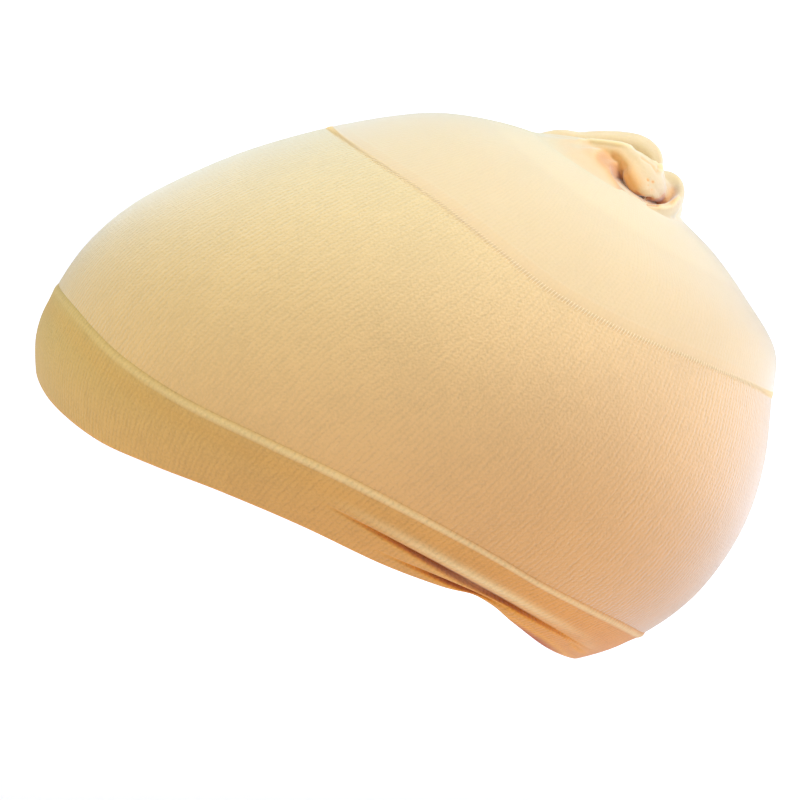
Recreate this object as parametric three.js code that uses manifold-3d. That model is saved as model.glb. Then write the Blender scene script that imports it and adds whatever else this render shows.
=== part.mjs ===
// Stocking wig cap, with the form that it has on a head: a knitted crown, a crown panel above a
// stitched seam, a doubled elastic band with creases behind the ears, and the gathered knot that
// closes the top. Millimetres, +Z up, the wearer facing -Y. The origin is where the top of the
// head meets the inside of the crown. Heights are measured along the cap's own axis, which leans
// back, from the level of the band's top edge at the front.
import * as THREE from "three";
import { mergeVertices } from "three/addons/utils/BufferGeometryUtils.js";
import Module from "manifold-3d";

// Driving dimensions
const CAP_LENGTH = 187.4; // front to back, square to the cap's axis
const CAP_WIDTH = 151; // over the widest part of the head
const CROWN_RISE = 100; // from level 0 to the neck of the knot
const SEAM_RISE = 72; // from level 0 to the crown seam at the front
const CAP_TILT = 31; // degrees that the cap's axis leans back from upright
const KNIT_WALL = 1.0; // one layer of stretched knit
const BAND_WALL = 1.6; // the doubled layer of the band
const BAND_DROP = 25; // from level 0 to the band's lower edge where it hangs lowest
const BAND_TUCK = 5; // how far the band's lower edge turns in where it turns in most
const TUCK_CURVE = 1.7; // how late the band's lower part turns in: 1 is straight
const WELT_WIDTH = 2.6; // the raised join along the band's top edge
const WELT_PROUD = 0.6; // how far that join stands out of the band
const CREASE_DEPTH = 2.8; // of the band's deepest crease
const CREASE_WIDTH = 1.7; // of the band's widest crease, from its bottom to its side
const CREASE_LIP = 1.0; // how far the cloth above the deepest crease stands out
const PIECE_GAP = 0.3; // clearance between neighbouring pieces
const NECK_RADIUS = 6.5; // the hole that the knot's stem closes
const NECK_BACK = 20; // the knot's axis, behind the middle of the cap's length
const GATHER_COUNT = 12; // pleats that run into the knot
const GATHER_DEPTH = 0.5;
const GATHER_REACH = 1.6; // sections over which the pleats die out
const KNOT_RADIUS = 18; // the knot's folds, from its axis to their centre lines
const KNOT_RISE = 9; // the centre line of the knot's highest fold, above the neck
const KNOT_FOLD = 4.6; // half the thickness of the knot's thickest fold
const FOLD_BLUNT = 0.35; // the shape of a fold's ends: 1 is pointed and 0 is cut off

// Mesh fineness
const CROWN_AROUND = 72;
const CROWN_ALONG = 8;
const PANEL_ALONG = 8;
const BAND_AROUND = 72;
const BAND_ALONG = 13;
const BAND_EASE = 1.25; // crowds the band's rows towards its welt
const FOLD_SIDES = 10;
const FOLD_STEPS = 12;
const FOLD_TIP = 0.02; // the share of a fold's length at which its end closes

// Sections of the head-hugging form, from below the band's lower edge to the knot's neck. level is
// a share of CROWN_RISE; front and back are shares of half of CAP_LENGTH; side is a share of half
// of CAP_WIDTH; egg narrows a section's front half and square fills its corners.
const SECTIONS = [
  { level: -0.28, front: -0.9, back: 0.62, side: 0.86, egg: 0.06, square: 0.02 },
  { level: -0.14, front: -0.987, back: 0.79, side: 0.915, egg: 0.07, square: 0.02 },
  { level: 0.0, front: -1.006, back: 0.9, side: 0.955, egg: 0.07, square: 0.02 },
  { level: 0.14, front: -0.993, back: 0.967, side: 0.985, egg: 0.08, square: 0.02 },
  { level: 0.28, front: -0.942, back: 0.991, side: 1.0, egg: 0.09, square: 0.02 },
  { level: 0.42, front: -0.852, back: 0.984, side: 0.99, egg: 0.09, square: 0.02 },
  { level: 0.56, front: -0.74, back: 0.944, side: 0.935, egg: 0.09, square: 0.02 },
  { level: 0.7, front: -0.6, back: 0.875, side: 0.825, egg: 0.08, square: 0.02 },
  { level: 0.82, front: -0.457, back: 0.81, side: 0.68, egg: 0.06, square: 0.01 },
  { level: 0.9, front: -0.335, back: 0.66, side: 0.52, egg: 0.04, square: 0.01 },
  { level: 0.955, front: -0.196, back: 0.525, side: 0.36, egg: 0.02, square: 0.0 },
  { level: 0.985, front: -0.06, back: 0.4, side: 0.215, egg: 0.0, square: 0.0 },
];
const LEVEL_SECTION = 2; // the section at level 0
const SECTION_STEP = 0.14; // levels between the sections up to the seam
const KNOT_SECTION = 9; // the lowest section that the knot can reach
const KNOT_ALONG = 4; // rows of the knot's underside

// Edges of the pieces. around is in degrees from the front, the same on both sides; seam is the
// height of the crown seam, as a share of SEAM_RISE; top and lower are heights of the band's edges,
// as shares of BAND_DROP; tuck is how far the band's lower edge turns in, as a share of BAND_TUCK.
const EDGES = [
  { around: 0, seam: 1.0, top: 0.02, lower: -0.9, tuck: 0.12 },
  { around: 25, seam: 0.997, top: 0.0, lower: -1.0, tuck: 0.3 },
  { around: 45, seam: 0.993, top: -0.104, lower: -1.0, tuck: 0.5 },
  { around: 60, seam: 0.986, top: -0.096, lower: -0.88, tuck: 0.6 },
  { around: 75, seam: 0.958, top: 0.012, lower: -0.716, tuck: 0.6 },
  { around: 90, seam: 0.926, top: 0.12, lower: -0.584, tuck: 0.64 },
  { around: 105, seam: 0.932, top: 0.172, lower: -0.504, tuck: 0.7 },
  { around: 116, seam: 0.953, top: 0.176, lower: -0.408, tuck: 0.84 },
  { around: 124, seam: 0.971, top: 0.16, lower: -0.32, tuck: 1.0 },
  { around: 134, seam: 0.986, top: 0.16, lower: -0.4, tuck: 0.8 },
  { around: 148, seam: 1.0, top: 0.144, lower: -0.5, tuck: 0.5 },
  { around: 165, seam: 1.0, top: 0.08, lower: -0.536, tuck: 0.3 },
  { around: 180, seam: 1.0, top: 0.06, lower: -0.54, tuck: 0.3 },
];

// Creases of the band. side is 1 for the wearer's left and -1 for the right; from and to are
// degrees from the front; start, middle and end are heights of the crease, as shares of BAND_DROP;
// depth, width and lip are shares of CREASE_DEPTH, CREASE_WIDTH and CREASE_LIP.
const CREASES = [
  { side: 1, from: 78, to: 164, start: -0.3, middle: -0.21, end: -0.38, depth: 1, width: 1, lip: 1 },
  { side: 1, from: 97, to: 152, start: -0.4, middle: -0.28, end: -0.5, depth: 0.57, width: 0.7, lip: 0.3 },
  { side: -1, from: 82, to: 160, start: -0.3, middle: -0.22, end: -0.36, depth: 0.86, width: 1, lip: 0.8 },
  { side: -1, from: 102, to: 148, start: -0.4, middle: -0.3, end: -0.48, depth: 0.5, width: 0.7, lip: 0.3 },
];
const CREASE_SPREAD = 0.8; // how soon a crease reaches its full depth: 0 is at once
const LIP_OFFSET = 1.6; // from a crease to the middle of its lip, in widths of the crease

// The knot's folds: the flap stands behind, the roll in front of it, and the collar winds round
// their foot. side, back and rise place a fold's centre line from the neck's middle, as shares of
// KNOT_RADIUS and of KNOT_RISE; half is its half thickness, as a share of KNOT_FOLD.
const KNOT_FOLDS = [
  { fold: "flap", side: 0.14, back: -1.3, rise: -0.1, half: 0.55 },
  { fold: "flap", side: -0.02, back: -0.89, rise: 0.2, half: 0.85 },
  { fold: "flap", side: -0.18, back: -0.44, rise: 0.6, half: 1.05 },
  { fold: "flap", side: -0.24, back: -0.06, rise: 0.84, half: 1.12 },
  { fold: "flap", side: -0.16, back: 0.3, rise: 0.58, half: 1.1 },
  { fold: "flap", side: 0.02, back: 0.6, rise: 0.14, half: 0.95 },
  { fold: "flap", side: 0.24, back: 0.76, rise: -0.2, half: 0.65 },
  { fold: "roll", side: 0.2, back: -1.22, rise: -0.14, half: 0.55 },
  { fold: "roll", side: 0.44, back: -0.8, rise: 0.02, half: 0.85 },
  { fold: "roll", side: 0.58, back: -0.39, rise: 0.25, half: 1.05 },
  { fold: "roll", side: 0.58, back: 0.0, rise: 0.4, half: 1.1 },
  { fold: "roll", side: 0.54, back: 0.28, rise: 0.28, half: 1.05 },
  { fold: "roll", side: 0.7, back: 0.38, rise: -0.1, half: 0.85 },
  { fold: "collar", side: 0.96, back: 0.04, rise: -0.44, half: 0.5 },
  { fold: "collar", side: 0.9, back: 0.33, rise: -0.3, half: 0.8 },
  { fold: "collar", side: 0.62, back: 0.62, rise: -0.04, half: 1.0 },
  { fold: "collar", side: 0.17, back: 0.74, rise: -0.08, half: 1.0 },
  { fold: "collar", side: -0.33, back: 0.66, rise: 0.0, half: 1.0 },
  { fold: "collar", side: -0.66, back: 0.32, rise: 0.02, half: 1.05 },
  { fold: "collar", side: -0.74, back: -0.14, rise: -0.02, half: 1.0 },
  { fold: "collar", side: -0.52, back: -0.67, rise: -0.06, half: 0.85 },
  { fold: "collar", side: -0.08, back: -1.14, rise: -0.14, half: 0.55 },
];

// The knot's rounded bodies: the cloth inside the folds, and the hollow below the roll. side, back
// and rise place the middle from the neck's middle, and across, along and up are half sizes.
// rise and up are shares of KNOT_RISE and the rest are shares of KNOT_RADIUS.
const KNOT_BODIES = {
  core: { side: 0, back: 0, rise: 0, across: 0.87, along: 1.04, up: 1.08 },
  hollow: { side: 1.06, back: -0.25, rise: -0.12, across: 0.42, along: 0.34, up: 0.5 },
};

const DEGREE = Math.PI / 180;
const SMALL_STEP = 1e-3; // of a surface's own parameters, for its tangents
const halfLength = CAP_LENGTH / 2;
const halfWidth = CAP_WIDTH / 2;

const clamp = (value, low, high) => Math.min(Math.max(value, low), high);
const fade = (share) => THREE.MathUtils.smoothstep(share, 0, 1);
const bell = (offset, width) => Math.exp(-((offset / width) ** 2));

// A table's column at a place between its rows, on a smooth curve through them. flat ends have
// no slope, for a table that is mirrored past its ends.
function readTable(rows, key, at, column, flat = false) {
  const last = rows.length - 1;
  let i = 0;
  while (i < last - 1 && at > rows[i + 1][key]) i += 1;
  const slope = (k) => {
    if (flat && (k === 0 || k === last)) return 0;
    const [low, high] = [rows[Math.max(k - 1, 0)], rows[Math.min(k + 1, last)]];
    return (high[column] - low[column]) / (high[key] - low[key]);
  };
  const [start, end] = [rows[i], rows[i + 1]];
  const span = end[key] - start[key];
  const u = (at - start[key]) / span;
  const bend = u * u * (3 - 2 * u);
  const ease = span * (slope(i) * u * (1 - u) ** 2 - slope(i + 1) * u * u * (1 - u));
  return start[column] + (end[column] - start[column]) * bend + ease;
}

// The crown's sections with their place in the table, and the neck of the knot as the last one.
const crownRows = [
  ...SECTIONS,
  {
    level: 1,
    front: (NECK_BACK - NECK_RADIUS) / halfLength,
    back: (NECK_BACK + NECK_RADIUS) / halfLength,
    side: NECK_RADIUS / halfWidth,
    egg: 0,
    square: 0,
  },
].map((row, place) => ({ ...row, place }));
const NECK_SECTION = crownRows.length - 1;

// The place in the table of sections that is this high, in millimetres from level 0.
const placeOf = (height) => LEVEL_SECTION + height / (SECTION_STEP * CROWN_RISE);

// A point of the head-hugging form. around is in radians from the front towards the wearer's
// left, and place counts the sections.
function crownPoint(around, place) {
  const value = (column) => readTable(crownRows, "place", place, column);
  const [front, back] = [value("front") * halfLength, value("back") * halfLength];
  const fill = 1 + value("square") * Math.sin(2 * around) ** 2;
  const narrowing = 1 - value("egg") * Math.cos(around);
  const gather = GATHER_DEPTH * fade((place - NECK_SECTION) / GATHER_REACH + 1);
  return new THREE.Vector3(
    value("side") * halfWidth * Math.sin(around) * narrowing * fill,
    (front + back) / 2 - ((back - front) / 2) * Math.cos(around) * fill,
    value("level") * CROWN_RISE + gather * Math.cos(GATHER_COUNT * around),
  );
}

// Degrees from the front, from -180 on the wearer's right to 180 on the left.
function turnFromFront(around) {
  return THREE.MathUtils.euclideanModulo(around / DEGREE + 180, 360) - 180;
}

function edgeValue(around, column) {
  return readTable(EDGES, "around", Math.abs(turnFromFront(around)), column, true);
}

const seamHeight = (around) => edgeValue(around, "seam") * SEAM_RISE;
const topHeight = (around) => edgeValue(around, "top") * BAND_DROP;
const lowerHeight = (around) => edgeValue(around, "lower") * BAND_DROP;

// The parabola through three values at 0, a half and 1.
function curveThrough(start, middle, end, share) {
  const bow = 4 * middle - 2 * (start + end);
  return THREE.MathUtils.lerp(start, end, share) + bow * share * (1 - share);
}

// How far the creases push the band's face in, in millimetres, at a height.
function creaseDepth(around, height) {
  let depth = 0;
  for (const crease of CREASES) {
    const along = (crease.side * turnFromFront(around) - crease.from) / (crease.to - crease.from);
    if (along <= 0 || along >= 1) continue;
    const strength = Math.sin(Math.PI * along) ** CREASE_SPREAD;
    const line = curveThrough(crease.start, crease.middle, crease.end, along);
    const above = height - line * BAND_DROP;
    const width = crease.width * CREASE_WIDTH;
    const push = crease.depth * CREASE_DEPTH * bell(above, width);
    depth += strength * (push - crease.lip * CREASE_LIP * bell(above - LIP_OFFSET * width, width));
  }
  return depth;
}

// A point of the band's outer face, at a share of the way down from its top edge.
function bandPoint(around, down) {
  const top = topHeight(around);
  const height = THREE.MathUtils.lerp(top, lowerHeight(around), down);
  const point = crownPoint(around, placeOf(height));
  const inward = new THREE.Vector3(-point.x, -point.y, 0).normalize();
  const welt = WELT_PROUD * bell(top - height - WELT_WIDTH / 2, WELT_WIDTH / 2);
  const tuck = edgeValue(around, "tuck") * BAND_TUCK * Math.max(down, 0) ** TUCK_CURVE;
  return point.addScaledVector(inward, tuck + creaseDepth(around, height) - welt);
}

// The outward unit normal of a face that is given as a function of around and along.
function normalAt(face, around, along) {
  const ahead = face(around + SMALL_STEP, along).sub(face(around - SMALL_STEP, along));
  const up = face(around, along + SMALL_STEP).sub(face(around, along - SMALL_STEP));
  return ahead.cross(up).normalize();
}

// The share of one step of along that is this far on the face.
function stepFor(face, around, along, distance) {
  const moved = face(around, along + SMALL_STEP).sub(face(around, along - SMALL_STEP));
  return (distance * 2 * SMALL_STEP) / moved.length();
}

function closedGeometry(positions, index) {
  const geometry = new THREE.BufferGeometry();
  geometry.setAttribute("position", new THREE.Float32BufferAttribute(positions, 3));
  geometry.setIndex(index);
  return geometry;
}

// A closed ring-shaped wall between two faces, open at both ends. Each face is a function of
// around, in radians, and along, from 0 to 1, and along runs upwards.
function ringWall(outer, inner, aroundCount, alongCount) {
  const positions = [];
  for (const face of [outer, inner]) {
    for (let j = 0; j <= alongCount; j += 1) {
      for (let i = 0; i < aroundCount; i += 1) {
        positions.push(...face((2 * Math.PI * i) / aroundCount, j / alongCount));
      }
    }
  }
  const innerStart = (alongCount + 1) * aroundCount;
  const index = [];
  const quad = (a, b, c, d) => index.push(a, b, c, a, c, d);
  for (let i = 0; i < aroundCount; i += 1) {
    const next = (i + 1) % aroundCount;
    for (let j = 0; j < alongCount; j += 1) {
      const [low, high] = [j * aroundCount, (j + 1) * aroundCount];
      quad(low + i, low + next, high + next, high + i);
      const [lowIn, highIn] = [innerStart + low, innerStart + high];
      quad(lowIn + next, lowIn + i, highIn + i, highIn + next);
    }
    const top = alongCount * aroundCount;
    quad(innerStart + i, innerStart + next, next, i);
    quad(top + i, top + next, innerStart + top + next, innerStart + top + i);
  }
  return closedGeometry(positions, index);
}

// The crown's wall between two edges, with half a gap left at each. Each edge is a function of
// around that gives a place in the table of sections.
function crownWall(lowEdge, highEdge, alongCount) {
  const placeAt = (around, along) => {
    const [low, high] = [lowEdge(around), highEdge(around)];
    const start = low + stepFor(crownPoint, around, low, PIECE_GAP / 2);
    const end = high - stepFor(crownPoint, around, high, PIECE_GAP / 2);
    return THREE.MathUtils.lerp(start, end, along);
  };
  const outer = (around, along) => crownPoint(around, placeAt(around, along));
  const inner = (around, along) => {
    const place = placeAt(around, along);
    const normal = normalAt(crownPoint, around, place);
    return crownPoint(around, place).addScaledVector(normal, -KNIT_WALL);
  };
  return ringWall(outer, inner, CROWN_AROUND, alongCount);
}

// The band's wall, thicker than the crown's by the same amount outside and inside.
function bandWall() {
  const face = (around, up) => bandPoint(around, 1 - up);
  const upAt = (around, along) =>
    (1 - (1 - along) ** BAND_EASE) * (1 - stepFor(face, around, 1, PIECE_GAP / 2));
  const layer = (depth) => (around, along) => {
    const up = upAt(around, along);
    return face(around, up).addScaledVector(normalAt(face, around, up), -depth);
  };
  const proud = (BAND_WALL - KNIT_WALL) / 2;
  return ringWall(layer(-proud), layer(BAND_WALL - proud), BAND_AROUND, BAND_ALONG);
}

// A rounded fold of cloth along a curve, with a section of changing size. rows hold its centre
// points and half thicknesses.
function foldedCloth(rows) {
  const curve = new THREE.CatmullRomCurve3(rows.map((row) => row.centre));
  const frames = curve.computeFrenetFrames(FOLD_STEPS, false);
  const positions = [];
  const index = [];
  for (let j = 0; j <= FOLD_STEPS; j += 1) {
    const share = j / FOLD_STEPS;
    const place = curve.getUtoTmapping(share) * (rows.length - 1);
    const inside = clamp(share, FOLD_TIP, 1 - FOLD_TIP);
    const half = readTable(rows, "place", place, "half") * Math.sin(Math.PI * inside) ** FOLD_BLUNT;
    for (let i = 0; i < FOLD_SIDES; i += 1) {
      const turn = (2 * Math.PI * i) / FOLD_SIDES;
      const point = curve.getPointAt(share);
      point.addScaledVector(frames.normals[j], half * Math.cos(turn));
      point.addScaledVector(frames.binormals[j], half * Math.sin(turn));
      positions.push(...point);
    }
  }
  const [start, end] = [positions.length / 3, positions.length / 3 + 1];
  positions.push(...curve.getPointAt(0), ...curve.getPointAt(1));
  for (let i = 0; i < FOLD_SIDES; i += 1) {
    const next = (i + 1) % FOLD_SIDES;
    for (let j = 0; j < FOLD_STEPS; j += 1) {
      const [low, high] = [j * FOLD_SIDES, (j + 1) * FOLD_SIDES];
      index.push(low + i, low + next, high + next, low + i, high + next, high + i);
    }
    const top = FOLD_STEPS * FOLD_SIDES;
    index.push(start, next, i, end, top + i, top + next);
  }
  return closedGeometry(positions, index);
}

const wasm = await Module();
wasm.setup();

// A closed geometry as a solid for joining and cutting.
function toSolid(geometry) {
  const bare = geometry.clone();
  bare.deleteAttribute("normal");
  bare.deleteAttribute("uv");
  const merged = mergeVertices(bare);
  return new wasm.Manifold(
    new wasm.Mesh({
      numProp: 3,
      vertProperties: merged.attributes.position.array,
      triVerts: new Uint32Array(merged.index.array),
    }),
  );
}

function toGeometry(solid) {
  const made = solid.getMesh();
  const geometry = new THREE.BufferGeometry();
  geometry.setAttribute("position", new THREE.BufferAttribute(made.vertProperties, 3));
  geometry.setIndex(new THREE.BufferAttribute(made.triVerts, 1));
  return geometry;
}

// The space under the crown's outer face near the knot, raised by the gap, as a closed solid.
function spaceUnderKnot() {
  const stem = NECK_RADIUS - PIECE_GAP;
  const floor = crownPoint(0, KNOT_SECTION).z;
  const roof = (around, along) => {
    const place = THREE.MathUtils.lerp(KNOT_SECTION, NECK_SECTION, along);
    const normal = normalAt(crownPoint, around, place);
    return crownPoint(around, place).addScaledVector(normal, PIECE_GAP);
  };
  const bore = (around, along) => {
    const height = THREE.MathUtils.lerp(floor, CROWN_RISE + 2 * PIECE_GAP, along);
    return new THREE.Vector3(stem * Math.sin(around), NECK_BACK - stem * Math.cos(around), height);
  };
  return toSolid(ringWall(roof, bore, CROWN_AROUND, KNOT_ALONG));
}

// A rounded body of the knot, from its row in the table.
function knotBody(name) {
  const { side, back, rise, across, along, up } = KNOT_BODIES[name];
  const ball = new THREE.SphereGeometry(1, 2 * FOLD_SIDES, FOLD_SIDES);
  ball.rotateX(Math.PI / 2);
  ball.scale(across * KNOT_RADIUS, along * KNOT_RADIUS, up * KNOT_RISE);
  ball.translate(side * KNOT_RADIUS, NECK_BACK + back * KNOT_RADIUS, CROWN_RISE + rise * KNOT_RISE);
  return toSolid(ball);
}

// One fold of the knot, from its rows in the table.
function knotFold(name) {
  const rows = KNOT_FOLDS.filter((row) => row.fold === name).map((row, place) => {
    const [side, back] = [row.side * KNOT_RADIUS, NECK_BACK + row.back * KNOT_RADIUS];
    const centre = new THREE.Vector3(side, back, CROWN_RISE + row.rise * KNOT_RISE);
    return { place, centre, half: row.half * KNOT_FOLD };
  });
  return toSolid(foldedCloth(rows));
}

// The gathered knot: a stem through the neck and the folds that wind over it, with a hollow below
// the near one.
function knotGeometry() {
  const radius = NECK_RADIUS - PIECE_GAP;
  const stemLength = KNIT_WALL + KNOT_FOLD;
  const stem = new THREE.CylinderGeometry(radius, radius, stemLength, 2 * FOLD_SIDES);
  stem.rotateX(Math.PI / 2);
  stem.translate(0, NECK_BACK, CROWN_RISE - KNIT_WALL + stemLength / 2);
  const cloth = ["flap", "roll", "collar"]
    .reduce((whole, name) => whole.add(knotFold(name)), knotBody("core"))
    .subtract(knotBody("hollow"))
    .subtract(spaceUnderKnot());
  return toGeometry(cloth.add(toSolid(stem)));
}

// The top of the head inside the crown: the highest point of the inner face on the middle plane,
// once the cap has its tilt.
function headSeat() {
  const tilt = new THREE.Euler(-CAP_TILT * DEGREE, 0, 0);
  let seat = null;
  const steps = CROWN_AROUND * NECK_SECTION;
  for (let i = 0; i <= steps; i += 1) {
    const place = THREE.MathUtils.lerp(LEVEL_SECTION, NECK_SECTION, i / steps);
    const inner = crownPoint(0, place);
    inner.addScaledVector(normalAt(crownPoint, 0, place), -KNIT_WALL).applyEuler(tilt);
    if (!seat || inner.z > seat.z) seat = inner;
  }
  return seat;
}

function knit(colour) {
  return new THREE.MeshStandardMaterial({ color: colour, roughness: 0.85, metalness: 0 });
}

function piece(name, geometry, material) {
  const mesh = new THREE.Mesh(geometry, material);
  mesh.name = name;
  return mesh;
}

const bandTop = (around) => placeOf(topHeight(around));
const seam = (around) => placeOf(seamHeight(around));
const neck = () => NECK_SECTION;
const cap = new THREE.Group();
cap.rotation.x = -CAP_TILT * DEGREE;
cap.position.copy(headSeat()).negate();
cap.add(
  piece("crown", crownWall(bandTop, seam, CROWN_ALONG), knit(0xe3c08c)),
  piece("crown_panel", crownWall(seam, neck, PANEL_ALONG), knit(0xefd9ae)),
  piece("elastic_band", bandWall(), knit(0xd3a76c)),
  piece("gathered_knot", knotGeometry(), knit(0xf0cf93)),
);

const wigCap = new THREE.Group();
wigCap.add(cap);

export default wigCap;
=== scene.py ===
"""Stocking wig cap: its knitted cloth, seams and gathered knot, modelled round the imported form.

Lengths in the tables are in millimetres in the cap's own frame, whose axis leans back from
upright, and every piece ends in metres in the shared frame.
"""
import math

import bpy
import numpy as np
from mathutils import Matrix, Vector
from mathutils.bvhtree import BVHTree


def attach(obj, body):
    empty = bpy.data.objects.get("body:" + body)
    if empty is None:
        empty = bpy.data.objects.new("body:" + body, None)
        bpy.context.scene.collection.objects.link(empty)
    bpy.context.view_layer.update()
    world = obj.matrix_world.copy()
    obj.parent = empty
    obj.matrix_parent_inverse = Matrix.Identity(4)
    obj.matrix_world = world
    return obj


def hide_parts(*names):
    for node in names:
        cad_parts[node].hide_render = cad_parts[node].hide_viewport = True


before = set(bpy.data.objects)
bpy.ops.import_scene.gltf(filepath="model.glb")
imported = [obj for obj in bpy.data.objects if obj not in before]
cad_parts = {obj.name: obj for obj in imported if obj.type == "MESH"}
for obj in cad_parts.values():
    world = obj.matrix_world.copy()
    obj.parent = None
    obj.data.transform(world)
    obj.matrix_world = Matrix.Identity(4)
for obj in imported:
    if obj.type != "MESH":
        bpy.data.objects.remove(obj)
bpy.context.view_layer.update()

bl_info = {
    "name": "Stocking wig cap",
    "version": (1, 0, 0),
    "blender": (4, 5, 0),
    "location": "3D View > Sidebar > Wig Cap",
    "description": "Builds a stretch-knit wig cap round its packed form",
    "category": "Add Mesh",
}

MM = 0.001


def table(columns, *rows):
    """Rows of values under named columns."""
    return [dict(zip(columns.split(), row)) for row in rows]


# The cap's own sizes, as its solids have them
CAP_LENGTH = 187.4
CAP_WIDTH = 151
CROWN_RISE = 100
SEAM_RISE = 72
CAP_TILT = 31  # degrees
KNIT_WALL = 1.0
BAND_WALL = 1.6
BAND_DROP = 25
BAND_TUCK = 5
TUCK_CURVE = 1.7
NECK_RADIUS = 6.5
NECK_BACK = 20
HALF_LENGTH = CAP_LENGTH / 2
HALF_WIDTH = CAP_WIDTH / 2

# Finer forms of the cloth that the solids leave out or hold in coarse facets
JOIN_GAP = 0.005  # between sewn neighbours
EDGE_ROUND = 0.02  # the rounding of a sewn edge
WELT_WIDTH = 2.7
WELT_PROUD = 0.4
WELT_HOLLOW = 0.15  # the soft hollow below the welt
WELT_FRONT = 0.35  # the share of the welt that is left over the forehead, where it is drawn flat
FLAT_TURN = 25  # degrees from the front to where the welt starts to rise
FLAT_FADE = 50  # degrees over which it rises
WELT_SHADE = 0.06  # how dark the painted shade in the hollow below the welt is
WELT_HIGHLIGHT = 0.5  # how strong the painted highlight on the welt is
LIP_HIGHLIGHT = 0.55  # how strong the painted highlight on the lips of the creases is
HEM_SHADE = 0.4  # how dark the painted shade along the band's turned lower edge is
HEM_WIDTH = 0.6
CREASE_SHADE_SPREAD = 1.6  # a crease's painted shade is this much wider than the crease
CREASE_DEPTH = 3.6
CREASE_WIDTH = 1.05
CREASE_EDGE = 0.5  # the share of its width that a crease has above its line, below the lip
CREASE_THIN = 0.4  # the share of its width that a crease keeps at its ends
CREASE_SPREAD = 2.0
CREASE_LIP = 0.7
LIP_OFFSET = 2.1
LIP_WIDTH = 1.2
INNER_SPREAD = 1.6  # a crease is this much wider on the inner layer
SEAM_TROUGH = 0.03  # how deep the overlock stitches pull the crown seam in
TROUGH_WIDTH = 0.9
SEAM_TONE = 0.035  # how much darker the cloth is where the seam doubles it
SEAM_FOLD = 2.7  # how wide the folded edge above the crown seam is
FOLD_PROUD = 0.06
FOLD_SLOPE = 0.8
HIGHLIGHT_FROM = -140  # the level from which painted highlight makes the knit paler up to the top
TOE_RADIUS = 42  # round the knot, where the paler toe knit starts
TOE_SLOPE = 3
TOE_PALE = 0.16
LOOP_DRIFT = 0.9  # how far the loops wander from a plain grid, in loops
RIB_SHARE = 0.38  # shares of the knit's relief
LOOP_SHARE = 0.08
DRAW_SHARE = 0.9
FUZZ_SHARE = 1.0
KNIT_SOFT = 0.15  # the share of light that spreads inside the finer knit
SOFT_REACH = 3  # how far it spreads
AMBER_FULL = 0.5  # the dark tone at which the painted shade is fully amber
DEEP_FROM = 0.35  # and the one from which the painted shade turns brown
KNIT_BUMP = 0.35  # how far the knit's relief stands
LOOP_NOISE = 420.0  # noise waves to the metre in the wandering of the loops
FINE_NOISE = 900.0  # in the knot's cloth, which is too crushed to show its loops
PATCH_NOISE = 38.0  # in the patches where the relief is stronger
FUZZ_NOISE = 1700.0  # in the yarn's fuzz
TWIST_NOISE = 2600.0  # in the thread's twist
DRAW_STRETCH = (1.3, 0.3, 0)  # the uneven draw runs along the ribs
KNIT_PEAK = 1.3  # the height of the knit's relief that is palest
GATHERS = [
    {"count": 12, "depth": 0.5, "reach": 1.6, "turn": 0.0},
    {"count": 31, "depth": 0.22, "reach": 1.1, "turn": 0.7},
    {"count": 53, "depth": 0.12, "reach": 0.8, "turn": 2.1},
]

# Mesh fineness
CLOTH_COLUMNS = 360
CLOTH_GIRTH = 0.52  # metres round the cap, over which the wales are counted
CROWN_ROWS_UP = np.concatenate([[0, 0.003, 0.008], np.linspace(0.016, 0.984, 63), [0.992, 0.997, 1]])
PANEL_ROWS_UP = np.concatenate([np.linspace(0, 0.055, 17)[:-1], np.linspace(0.055, 1, 65)])
BAND_ROWS_UP = np.linspace(0, 1, 121)
ROWS_IN = 24
ROLL_STEPS = 6
UV_HEIGHT = 100  # millimetres up the cloth that one unit of its UV map covers
HEIGHT_STEPS = 40  # steps in which a piece's height along its cloth is measured
SEAT_STEPS = 864  # steps in which the top of the head is looked for
SEAM_STEPS = 1440  # steps in which the seam's length is measured
ROOF_ROWS = 90  # fineness of the panel as the knot is laid on it
ROOF_COLUMNS = 240
MERGE_REACH = 1e-6  # metres within which meeting points are one

# Sections of the head-hugging form. level is a share of CROWN_RISE; front and back are shares of
# half of CAP_LENGTH; side is a share of half of CAP_WIDTH; egg narrows a section's front half and
# square fills its corners.
SECTIONS = table(
    "level front back side egg square",
    (-0.28, -0.9, 0.62, 0.86, 0.06, 0.02),
    (-0.14, -0.987, 0.79, 0.915, 0.07, 0.02),
    (0.0, -1.006, 0.9, 0.955, 0.07, 0.02),
    (0.14, -0.993, 0.967, 0.985, 0.08, 0.02),
    (0.28, -0.942, 0.991, 1.0, 0.09, 0.02),
    (0.42, -0.852, 0.984, 0.99, 0.09, 0.02),
    (0.56, -0.74, 0.944, 0.935, 0.09, 0.02),
    (0.7, -0.6, 0.875, 0.825, 0.08, 0.02),
    (0.82, -0.457, 0.81, 0.68, 0.06, 0.01),
    (0.9, -0.335, 0.66, 0.52, 0.04, 0.01),
    (0.955, -0.196, 0.525, 0.36, 0.02, 0.0),
    (0.985, -0.06, 0.4, 0.215, 0.0, 0.0),
    (
        1.0, (NECK_BACK - NECK_RADIUS) / HALF_LENGTH, (NECK_BACK + NECK_RADIUS) / HALF_LENGTH,
        NECK_RADIUS / HALF_WIDTH, 0.0, 0.0,
    ),
)
for section_number, section in enumerate(SECTIONS):
    section["place"] = section_number
NECK_SECTION = len(SECTIONS) - 1
LEVEL_SECTION = 2  # the section at level 0
SECTION_STEP = 0.14  # levels between the sections up to the seam

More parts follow.
